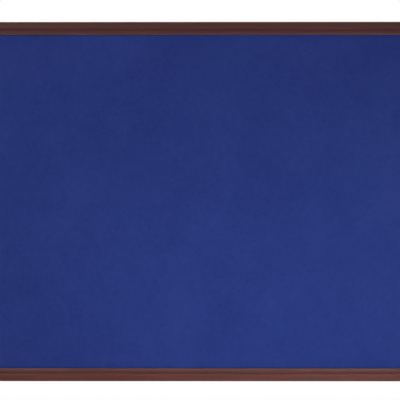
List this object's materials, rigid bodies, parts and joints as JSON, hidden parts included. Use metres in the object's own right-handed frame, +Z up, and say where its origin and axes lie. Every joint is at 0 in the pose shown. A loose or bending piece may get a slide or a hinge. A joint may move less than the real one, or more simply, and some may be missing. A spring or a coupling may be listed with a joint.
{
  "type": "felt notice board",
  "caption": "Landscape felt-covered pinboard in a mitred mahogany-finish moulded frame, with swinging strap-hanger rings and rubber wall bumpers behind.",
  "frame": {"origin": "the point on the wall's plane behind the centre of the board", "axes": "+X along the board's width to its reader's right, +Y into the wall, +Z up; the felt faces -Y"},
  "size_m": [1.2, 0.0293, 0.9],
  "materials": {
    "mahogany_foil": "satin",
    "blue_felt": "matte",
    "softboard": "matte",
    "hardboard": "matte",
    "zinc_steel": "satin",
    "black_steel": "satin",
    "black_rubber": "matte"
  },
  "bodies": {
    "board": {"frame_rail_top": "mahogany_foil", "frame_rail_bottom": "mahogany_foil", "frame_stile_left": "mahogany_foil", "frame_stile_right": "mahogany_foil", "felt_facing": "blue_felt", "softboard_core": "softboard", "hardboard_back": "hardboard", "wall_bumper_top_left": "black_rubber", "wall_bumper_top_right": "black_rubber", "wall_bumper_bottom_left": "black_rubber", "wall_bumper_bottom_right": "black_rubber", "hanger_strap_left": "zinc_steel", "hanger_strap_right": "zinc_steel", "v_nail_top_left_outer": "zinc_steel", "v_nail_top_left_inner": "zinc_steel", "v_nail_top_right_outer": "zinc_steel", "v_nail_top_right_inner": "zinc_steel", "v_nail_bottom_left_outer": "zinc_steel", "v_nail_bottom_left_inner": "zinc_steel", "v_nail_bottom_right_outer": "zinc_steel", "v_nail_bottom_right_inner": "zinc_steel", "hanger_screw_left_upper": "zinc_steel", "hanger_screw_left_lower": "zinc_steel", "hanger_screw_right_upper": "zinc_steel", "hanger_screw_right_lower": "zinc_steel", "retaining_point_top_1": "black_steel", "retaining_point_top_2": "black_steel", "retaining_point_top_3": "black_steel", "retaining_point_top_4": "black_steel", "retaining_point_bottom_1": "black_steel", "retaining_point_bottom_2": "black_steel", "retaining_point_bottom_3": "black_steel", "retaining_point_bottom_4": "black_steel", "retaining_point_left_1": "black_steel", "retaining_point_left_2": "black_steel", "retaining_point_left_3": "black_steel", "retaining_point_right_1": "black_steel", "retaining_point_right_2": "black_steel", "retaining_point_right_3": "black_steel"},
    "left_ring": {"hanger_ring_left": "zinc_steel"},
    "right_ring": {"hanger_ring_right": "zinc_steel"}
  },
  "joints": [
    {"name": "left_ring_swing", "type": "hinge", "parent": "board", "child": "left_ring", "pos_m": [-0.5885, -0.0026, 0.27], "axis": [1, 0, 0], "range_deg": [0, 180]},
    {"name": "right_ring_swing", "type": "hinge", "parent": "board", "child": "right_ring", "pos_m": [0.5885, -0.0026, 0.27], "axis": [1, 0, 0], "range_deg": [0, 180]}
  ]
}
